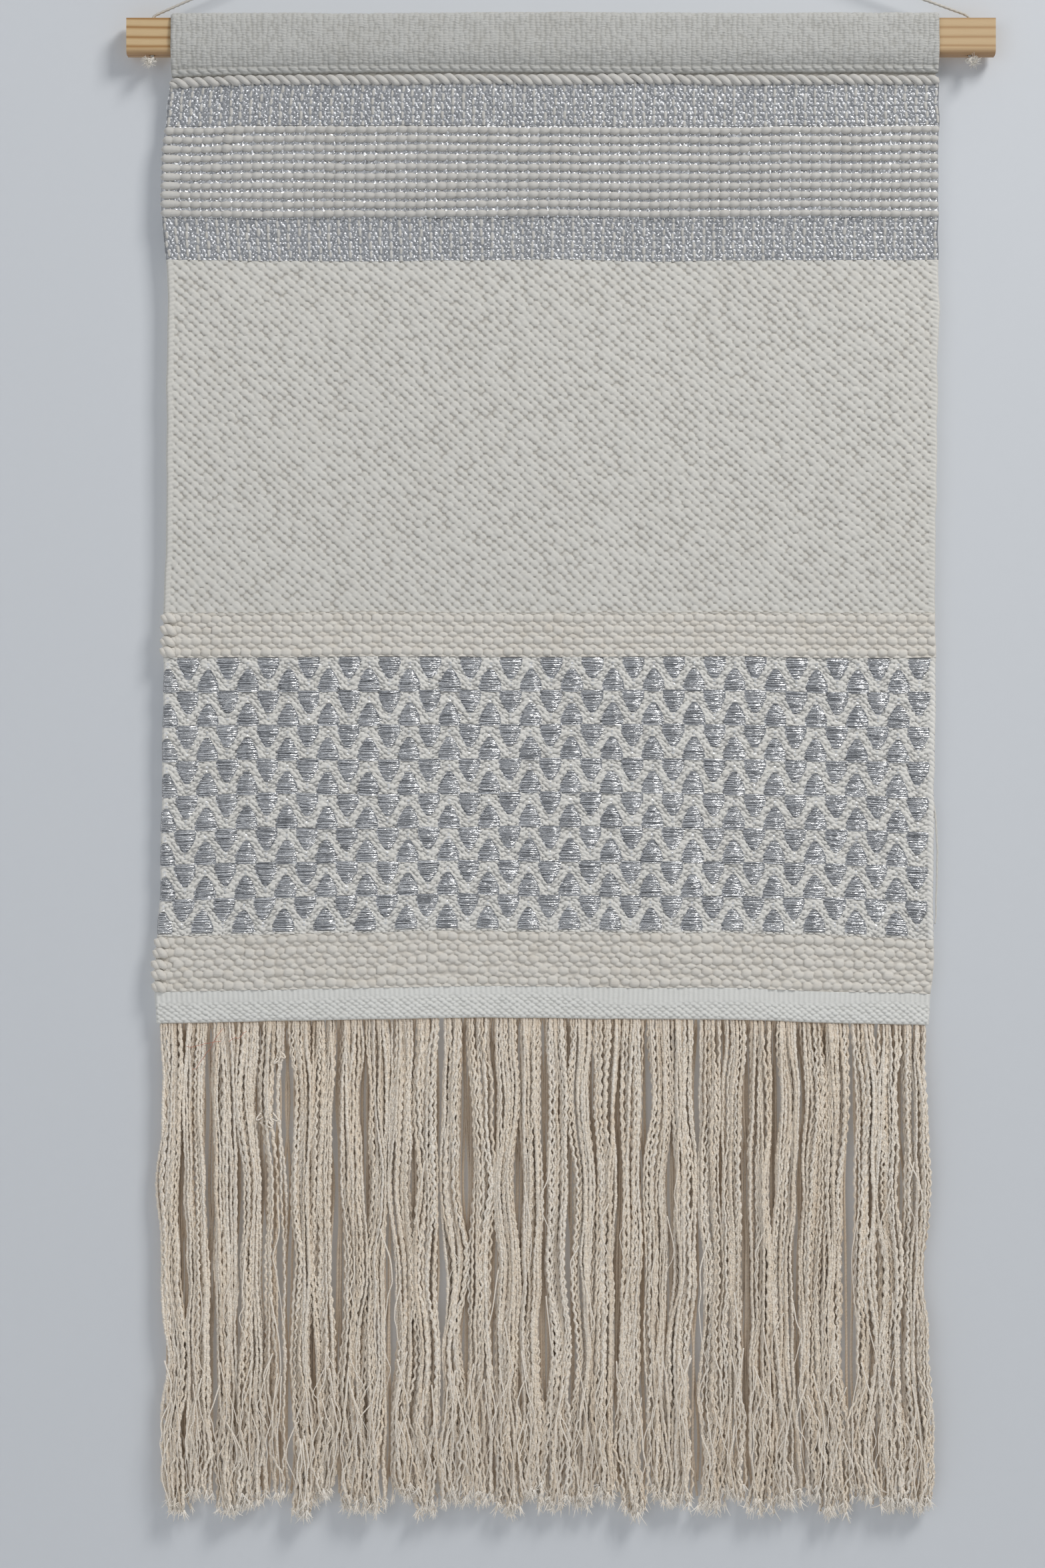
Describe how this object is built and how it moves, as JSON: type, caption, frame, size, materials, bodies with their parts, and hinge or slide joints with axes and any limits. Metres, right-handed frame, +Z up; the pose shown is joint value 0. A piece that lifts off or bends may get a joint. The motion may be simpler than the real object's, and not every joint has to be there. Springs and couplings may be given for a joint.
{
  "type": "tapestry wall hanging",
  "caption": "Handwoven wall hanging with ribbed, silver and zigzag bands, a wooden slat in its top sleeve, a hanging cord and a long fringe",
  "frame": {"origin": "the hanging point: the top of the nail, where the cord bears on it", "axes": "+Z up, +X along the slat to the right as seen from the front, +Y into the wall; the front faces -Y"},
  "size_m": [0.505, 0.0148, 0.9731],
  "materials": {
    "pine": "planed and unvarnished",
    "twine": "thin twisted twine",
    "white_cotton": "fine close weave, matte",
    "cream_cotton": "soft broken twill, matte",
    "cream_roving": "thick soft roving, matte",
    "silver_thread": "fine weave with metallic thread that sparkles",
    "fringe_cotton": "loose crimped cotton yarn, matte"
  },
  "bodies": {
    "cord": {"hanging_cord": "twine"},
    "slat": {"pine_slat": "pine", "left_cord_knot": "twine", "right_cord_knot": "twine"},
    "sleeve": {"sleeve_fold": "white_cotton", "sleeve_front": "white_cotton", "sleeve_back": "white_cotton", "sleeve_seam": "white_cotton"},
    "panel": {"braided_row": "cream_roving", "silver_band_upper": "silver_thread", "roving_ribs": "cream_roving", "silver_band_lower": "silver_thread", "plain_panel": "cream_cotton", "thick_band_upper": "cream_roving", "zigzag_band": "cream_cotton", "silver_zigzags": "silver_thread", "thick_band_lower": "cream_roving", "bottom_hem": "white_cotton"},
    "fringe": {"fringe_bundle_01": "fringe_cotton", "fringe_bundle_02": "fringe_cotton", "fringe_bundle_03": "fringe_cotton", "fringe_bundle_04": "fringe_cotton", "fringe_bundle_05": "fringe_cotton", "fringe_bundle_06": "fringe_cotton", "fringe_bundle_07": "fringe_cotton", "fringe_bundle_08": "fringe_cotton", "fringe_bundle_09": "fringe_cotton", "fringe_bundle_10": "fringe_cotton", "fringe_bundle_11": "fringe_cotton", "fringe_bundle_12": "fringe_cotton", "fringe_bundle_13": "fringe_cotton", "fringe_bundle_14": "fringe_cotton", "fringe_bundle_15": "fringe_cotton", "fringe_bundle_16": "fringe_cotton", "fringe_bundle_17": "fringe_cotton", "fringe_bundle_18": "fringe_cotton", "fringe_bundle_19": "fringe_cotton", "fringe_bundle_20": "fringe_cotton", "fringe_bundle_21": "fringe_cotton", "fringe_bundle_22": "fringe_cotton", "fringe_bundle_23": "fringe_cotton", "fringe_bundle_24": "fringe_cotton", "fringe_bundle_25": "fringe_cotton", "fringe_bundle_26": "fringe_cotton", "fringe_bundle_27": "fringe_cotton", "fringe_bundle_28": "fringe_cotton", "fringe_bundle_29": "fringe_cotton", "fringe_bundle_30": "fringe_cotton"}
  },
  "joints": [
    {"name": "slat_rock", "type": "hinge", "parent": "cord", "child": "slat", "pos_m": [0.024, 0, -0.095], "axis": [-1, 0, 0], "range_deg": [0, 10]},
    {"name": "sleeve_slide", "type": "slide", "parent": "slat", "child": "sleeve", "axis": [1, 0, 0], "range_m": [-0.002, 0.007]},
    {"name": "cloth_swing", "type": "hinge", "parent": "sleeve", "child": "panel", "pos_m": [0.0205, 0, -0.1263], "axis": [-1, 0, 0], "range_deg": [0, 30]},
    {"name": "fringe_swing", "type": "hinge", "parent": "panel", "child": "fringe", "pos_m": [0.0135, 0, -0.6771], "axis": [-1, 0, 0], "range_deg": [0, 40]}
  ]
}
